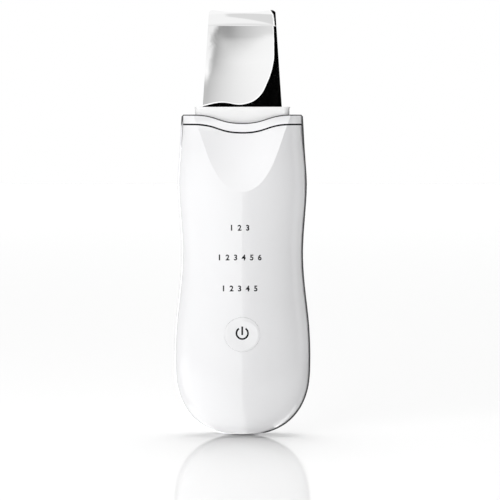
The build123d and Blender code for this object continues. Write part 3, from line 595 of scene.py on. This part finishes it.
def card_material(name, strength=None):
    """Glows on the front only and in the first mirror that shows it, by one strength or by the card's own
    glow attribute."""
    material = bpy.data.materials.new(name)
    material.use_nodes = True
    tree = material.node_tree
    tree.nodes.remove(tree.nodes["Principled BSDF"])
    glow = tree.nodes.new("ShaderNodeEmission")
    level = strength
    if strength is None:
        attribute = tree.nodes.new("ShaderNodeAttribute")
        attribute.attribute_name = "glow"
        level = attribute.outputs["Fac"]
    path = tree.nodes.new("ShaderNodeLightPath")
    first = math_node(tree, "LESS_THAN", path.outputs["Glossy Depth"], 1.5)
    tree.links.new(math_node(tree, "MULTIPLY", first, level), glow.inputs["Strength"])
    geometry = tree.nodes.new("ShaderNodeNewGeometry")
    clear = tree.nodes.new("ShaderNodeBsdfTransparent")
    mix = tree.nodes.new("ShaderNodeMixShader")
    tree.links.new(geometry.outputs["Backfacing"], mix.inputs["Fac"])
    tree.links.new(glow.outputs[0], mix.inputs[1])
    tree.links.new(clear.outputs[0], mix.inputs[2])
    tree.links.new(mix.outputs[0], tree.nodes["Material Output"].inputs["Surface"])
    return material


def only_mirrored(board, material):
    """Card that is seen only in glossy surfaces."""
    board.data.materials.clear()
    board.data.materials.append(material)
    board.visible_camera = False
    board.visible_diffuse = False
    board.visible_transmission = False
    board.visible_shadow = False
    board.visible_volume_scatter = False


def card(name, corner, across, up, glow, cell=2.0):
    """Flat card from a corner along two sides, in millimetres, facing across x up.  Its glow is a number,
    or a function of the place on it."""
    corner, across, up = Vector(corner), Vector(across), Vector(up)
    deselected()
    plain = isinstance(glow, (int, float))
    columns, rows = (1, 1) if plain else (round(across.length / cell), round(up.length / cell))
    bpy.ops.mesh.primitive_grid_add(x_subdivisions=columns, y_subdivisions=rows, size=2)
    board = bpy.context.object
    board.name = name
    mesh = board.data
    values = []
    for vertex in mesh.vertices:
        place = corner + across * (vertex.co.x + 1) / 2 + up * (vertex.co.y + 1) / 2
        vertex.co = place * MM
        values.append(0.0 if plain else glow(place))
    if not plain:
        mesh.attributes.new("glow", "FLOAT", "POINT").data.foreach_set("value", values)
    only_mirrored(board, card_material(name, glow if plain else None))


def upright_card(name, left, right, low, high, y, glow, cell=2.0):
    """Card across the scrubber's front, facing it."""
    card(name, (right, y, low), (left - right, 0, 0), (0, 0, high - low), glow, cell)


def shaped_card(name, edge, corners, y, strength):
    """Card across the scrubber's front with one smooth edge; the corners close it."""
    data = bpy.data.curves.new(name, "CURVE")
    data.dimensions = "2D"
    data.fill_mode = "FRONT"
    spline = data.splines.new("BEZIER")
    spline.bezier_points.add(len(edge) + len(corners) - 1)
    spline.use_cyclic_u = True
    for place, (point, (x, z)) in enumerate(zip(spline.bezier_points, edge + corners)):
        smooth = 0 < place < len(edge) - 1
        point.handle_left_type = point.handle_right_type = "AUTO" if smooth else "VECTOR"
        point.co = (-x * MM, z * MM, 0)
    board = bpy.data.objects.new(name, data)
    bpy.context.scene.collection.objects.link(board)
    make_active(board)
    bpy.ops.object.convert(target="MESH")
    board = bpy.context.object
    for vertex in board.data.vertices:
        vertex.co = (-vertex.co.x, y * MM, vertex.co.y)
    if board.data.polygons[0].normal.y < 0:
        board.data.flip_normals()
    only_mirrored(board, card_material(name, strength))


def ease(value, start, end):
    """0 before start, 1 after end, smooth between."""
    share = min(1.0, max(0.0, (value - start) / (end - start)))
    return share * share * (3 - 2 * share)


def white_to_eye(tree):
    """1 for rays from the camera, a mirror or glass, 0 for the rest."""
    path = tree.nodes.new("ShaderNodeLightPath")
    total = path.outputs["Is Camera Ray"]
    for label in ("Is Glossy Ray", "Is Transmission Ray"):
        total = math_node(tree, "MAXIMUM", total, path.outputs[label])
    return total


class SCRUBBER_OT_stage(bpy.types.Operator):
    """Pale floor, white surround, soft lamps, the cards that the gloss mirrors, and the camera"""
    bl_idname = "scrubber.stage"
    bl_label = "Stage"

    def execute(self, context):
        scene = context.scene
        scene.view_settings.view_transform = "Standard"
        self.surround(scene)
        self.floor()
        self.lamps()
        self.cards()
        self.camera(scene, scene.scrubber_stage)
        return {"FINISHED"}

    def surround(self, scene):
        """White to the eye, and dim as a light."""
        world = bpy.data.worlds.new("surround")
        scene.world = world
        world.use_nodes = True
        tree = world.node_tree
        dim = tree.nodes["Background"]
        dim.inputs["Color"].default_value = (1, 1, 1, 1)
        dim.inputs["Strength"].default_value = 0.14
        bright = tree.nodes.new("ShaderNodeBackground")
        bright.inputs["Color"].default_value = (1, 1, 1, 1)
        mix = tree.nodes.new("ShaderNodeMixShader")
        tree.links.new(white_to_eye(tree), mix.inputs["Fac"])
        tree.links.new(dim.outputs[0], mix.inputs[1])
        tree.links.new(bright.outputs[0], mix.inputs[2])
        tree.links.new(mix.outputs[0], tree.nodes["World Output"].inputs["Surface"])

    def floor(self):
        """Wide pale floor with a faint mirror."""
        deselected()
        bpy.ops.mesh.primitive_plane_add(size=6.0, location=(0, 0, CAD_LOW.z))
        floor = bpy.context.object
        floor.name = "floor"
        material = bpy.data.materials.new("floor_white")
        material.use_nodes = True
        tree = material.node_tree
        bsdf = tree.nodes["Principled BSDF"]
        bsdf.inputs["Base Color"].default_value = (0.8, 0.8, 0.8, 1)
        bsdf.inputs["Roughness"].default_value = 0.10
        bsdf.inputs["Specular IOR Level"].default_value = 0.08
        glow = tree.nodes.new("ShaderNodeEmission")
        tree.links.new(white_to_eye(tree), glow.inputs["Strength"])
        glow.inputs["Color"].default_value = (0.04, 0.04, 0.04, 1)
        both = tree.nodes.new("ShaderNodeAddShader")
        tree.links.new(bsdf.outputs[0], both.inputs[0])
        tree.links.new(glow.outputs[0], both.inputs[1])
        tree.links.new(both.outputs[0], tree.nodes["Material Output"].inputs["Surface"])
        floor.data.materials.append(material)

    def lamps(self):
        """One big soft lamp at the left front, and soft suns that lift the floor, the neck and the back."""
        back = [NODES[name] for name in ("rear_shell", "collar_ring", "neck_housing")]
        lamp("key_softbox", (-0.65, -0.95, 0.30), target=(0, 0, 0.08), width=1.0, height=1.0, radiance=3.6)
        linked_sun("floor_sun", [bpy.data.objects["floor"]], energy=2.75, angle=50, tilt=-10)
        linked_sun("neck_sun", [NODES["neck_housing"]], energy=0.22, angle=40, tilt=65)
        linked_sun("back_sun", back, energy=1.3, angle=60, tilt=-70)

    def cards(self):
        """What the gloss and the steel mirror: a bright left, a dimmer right, and small cards close by."""
        deep = (0, NEAR_Y - FAR_Y, 0)
        upright_card("left_card", -500, SPLIT, low=-20, high=123, y=FAR_Y, glow=self.left_glow, cell=6.0)
        upright_card("right_card", SPLIT, 260, low=-20, high=200, y=FAR_Y - 1, glow=self.right_glow, cell=4.0)
        card("left_low", (-300, FAR_Y, 0.6), across=(300 + SPLIT, 0, 0), up=deep, glow=2.5)
        card("right_low", (SPLIT, FAR_Y, 0.6), across=(258, 0, 0), up=deep, glow=0.9)
        card("under_glow", (-40, NEAR_Y, 0.5), across=(80, 0, 0), up=(0, 18, 0), glow=self.under_glow,
             cell=0.5)
        card("side_card", (260, 300, -20), across=(0, -450, 0), up=(0, 0, 300), glow=1.3)
        upright_card("facet_card", -60, 50, low=110, high=178, y=FAR_Y + 1, glow=self.facet_glow)
        upright_card("neck_card", -20, 16.2, low=124.1, high=128.2, y=-8, glow=0.95)
        card("neck_end", (21, 5, 124.6), across=(0, -7.2, 0), up=(0, 0, 4), glow=0.0)
        card("back_card", (-45, 100, 128), across=(90, 0, 0), up=(0, 0, 47), glow=self.back_glow)
        self.blade_cards()
        self.trim_flag()

    @staticmethod
    def left_glow(place):
        """Bright, and a little less so far out."""
        near, far_loss = 1.95, 0.45
        return near - far_loss * ease(-place.x, 20, 170)

    @staticmethod
    def right_glow(place):
        """Dim beside the split, and dark further out."""
        near, first_loss, far_loss = 0.42, 0.32, 0.1
        return near - first_loss * ease(place.x, 2, 16) - far_loss * ease(place.x, 40, 120)

    @staticmethod
    def back_glow(place):
        """Slanting fade across the back of the blade."""
        dark, rise, slant = 0.35, 0.6, 0.6
        return dark + rise * ease(place.x - slant * (place.z - 150), -22, 24)

    @staticmethod
    def under_glow(place):
        """Brighter towards the foot, where the shells turn down and catch less of the lamps."""
        if place.x < SPLIT:
            return 2.5 - 1.2 * ease(place.y, -5.5, -2.5) * ease(place.x, -16, -9)
        if place.x < 14:
            return 0.9 + 0.5 * ease(place.y, -10, -5) - 0.9 * ease(place.y, -4, -1.5)
        return 0.9 + 1.8 * ease(place.y, -9, -3)

    @staticmethod
    def facet_glow(place):
        """Brighter to the right and lower down, within limits, and level at the top."""
        top, level = 160, 2.9
        darkest, brightest = 0.1, 3.5
        if place.z > top:
            return level
        return min(brightest, max(darkest, 2.3 + 0.09 * place.x - 0.022 * (place.z - 152)))

    def blade_cards(self):
        """A dark shape at the right and the foot with a bright rim, before a soft glow."""
        rim = tuple((x - RIM_LEFT, z + RIM_UP) for x, z in DARK_EDGE)
        shaped_card("blade_dark", DARK_EDGE, DARK_CORNERS, DARK_Y, 0.0)
        shaped_card("blade_rim", rim, DARK_CORNERS, DARK_Y - 0.1, BRIGHT_RIM)
        upright_card("blade_glow", -26, 24, low=127.2, high=160, y=-20.6, glow=self.blade_glow, cell=0.5)
        card("lip_glow", (-15, -12, 159.05), across=(30, 0, 0), up=(0, 11.8, 0), glow=self.lip_glow,
             cell=0.25)

    @staticmethod
    def blade_glow(place):
        """Bright, falling off towards a slanting left edge and a level top edge, and pale again beyond the
        left."""
        edge = -14.25 + 0.43 * (place.z - 130.6) - 0.45 * ease(place.z, 151, BEND_GLOW)
        left = place.x - edge
        down = max(0.0, BEND_GLOW - place.z)
        wide = max(3.6, 10 - 0.38 * (place.z - 131))
        right = ease(place.x, -1, 5)
        middle = math.exp(-((place.x + 2.4) / 1.6) ** 2)
        shade = (0.45 + 0.13 * ease(place.z, 138, 150)) * math.exp(-max(left, 0) / wide)
        top = (0.46 + 0.18 * middle - 0.22 * right) * math.exp(-down / (2.7 - 2.1 * right))
        # The fourth powers let the darker of the two shades win, with a soft change-over.
        glow = 0.95 * (1 - (shade ** 4 + top ** 4) ** 0.25)
        if left < 0:
            glow += 0.5 * ease(-left, 0, 1.2) * ease(place.z, 134, 142)
        return glow * STEEL_GAIN

    @staticmethod
    def lip_glow(place):
        """Pale with a slightly darker band across it, a bright rim, and dark to the right of the rim."""
        rim_wide = 0.45
        out = -place.y
        rim = 12.86 - 0.37 * out - 0.35 * max(0.0, out - 6.8)
        if place.x > rim:
            return 0.0
        if place.x > rim - rim_wide:
            return BRIGHT_RIM
        patch = ease(out - (5.4 - 0.23 * (place.x + 6.2)), -0.4, 0.6) * ease(place.x, -6.5, -4)
        glow = 0.90 - 0.2 * patch * (1 - ease(out, 6.7, 7.1)) - 0.15 * (1 - ease(out, 0.3, 2.0))
        glow += 0.04 * ease(out, 6.8, 7.3)
        return glow * STEEL_GAIN

    def trim_flag(self):
        """Dark shade close round the right trim and the left end of the collar, for the front of the
        plating."""
        mesh = NODES["side_trim"].data.copy()
        flag = bpy.data.objects.new("trim_flag", mesh)
        bpy.context.scene.collection.objects.link(flag)
        make_active(flag)
        bpy.ops.object.mode_set(mode="EDIT")
        bpy.ops.mesh.select_all(action="SELECT")
        bpy.ops.mesh.remove_doubles(threshold=FLAG_MERGE)
        bpy.ops.transform.shrink_fatten(value=FLAG_GAP)
        bpy.ops.mesh.bisect(plane_co=(0, 0, 0), plane_no=(0, 1, 0), clear_outer=True)
        bpy.ops.mesh.select_all(action="SELECT")
        bpy.ops.mesh.flip_normals()
        bpy.ops.object.mode_set(mode="OBJECT")
        sheet = bmesh.new()
        sheet.from_mesh(mesh)
        middles = {face: face.calc_center_median() for face in sheet.faces}
        unwanted = [face for face, middle in middles.items()
                    if middle.x < FLAG_RIGHT and middle.z < FLAG_COLLAR]
        bmesh.ops.delete(sheet, geom=unwanted, context="FACES")
        sheet.to_mesh(mesh)
        sheet.free()
        only_mirrored(flag, card_material("trim_flag", 0.1))

    def camera(self, scene, stage):
        """Long lens, a little above the middle of the scrubber and looking slightly down."""
        data = bpy.data.cameras.new("camera")
        camera = bpy.data.objects.new("camera", data)
        scene.collection.objects.link(camera)
        target = Vector((stage.aim_right, 0, stage.aim_height))
        elevation = stage.camera_elevation
        back = Vector((0, -math.cos(elevation), math.sin(elevation)))
        camera.location = target + back * stage.camera_distance
        camera.rotation_euler = (-back).to_track_quat("-Z", "Y").to_euler()
        data.sensor_width = 36.0
        data.lens = data.sensor_width * stage.camera_distance / stage.view_width
        scene.camera = camera


class SCRUBBER_PT_panel(bpy.types.Panel):
    """Steps that finish the scrubber, with their sizes and colours"""
    bl_label = "Skin scrubber"
    bl_idname = "SCRUBBER_PT_panel"
    bl_space_type = "VIEW_3D"
    bl_region_type = "UI"
    bl_category = "Scrubber"

    def draw(self, context):
        for group_name in SETTINGS:
            settings = getattr(context.scene, group_name)
            section = self.layout.box()
            for name in settings.bl_rna.properties.keys():
                if name not in ("rna_type", "name"):
                    section.prop(settings, name)
        for step in STEPS:
            self.layout.operator(step.bl_idname)


SETTINGS = {"scrubber_finish": ScrubberFinish, "scrubber_marks": ScrubberMarks,
            "scrubber_stage": ScrubberStage}
STEPS = (SCRUBBER_OT_shells, SCRUBBER_OT_collar, SCRUBBER_OT_metal, SCRUBBER_OT_inner, SCRUBBER_OT_figures,
         SCRUBBER_OT_power_mark, SCRUBBER_OT_stage)


def register():
    for name, group in SETTINGS.items():
        bpy.utils.register_class(group)
        setattr(bpy.types.Scene, name, bpy.props.PointerProperty(type=group))
    for step in STEPS + (SCRUBBER_PT_panel,):
        bpy.utils.register_class(step)


def unregister():
    for step in reversed(STEPS + (SCRUBBER_PT_panel,)):
        bpy.utils.unregister_class(step)
    for name, group in SETTINGS.items():
        delattr(bpy.types.Scene, name)
        bpy.utils.unregister_class(group)


def main():
    register()
    bpy.ops.scrubber.shells()
    bpy.ops.scrubber.collar()
    bpy.ops.scrubber.metal()
    bpy.ops.scrubber.inner()
    bpy.ops.scrubber.figures()
    bpy.ops.scrubber.power_mark()
    bpy.ops.scrubber.stage()


if __name__ == "__main__":
    main()
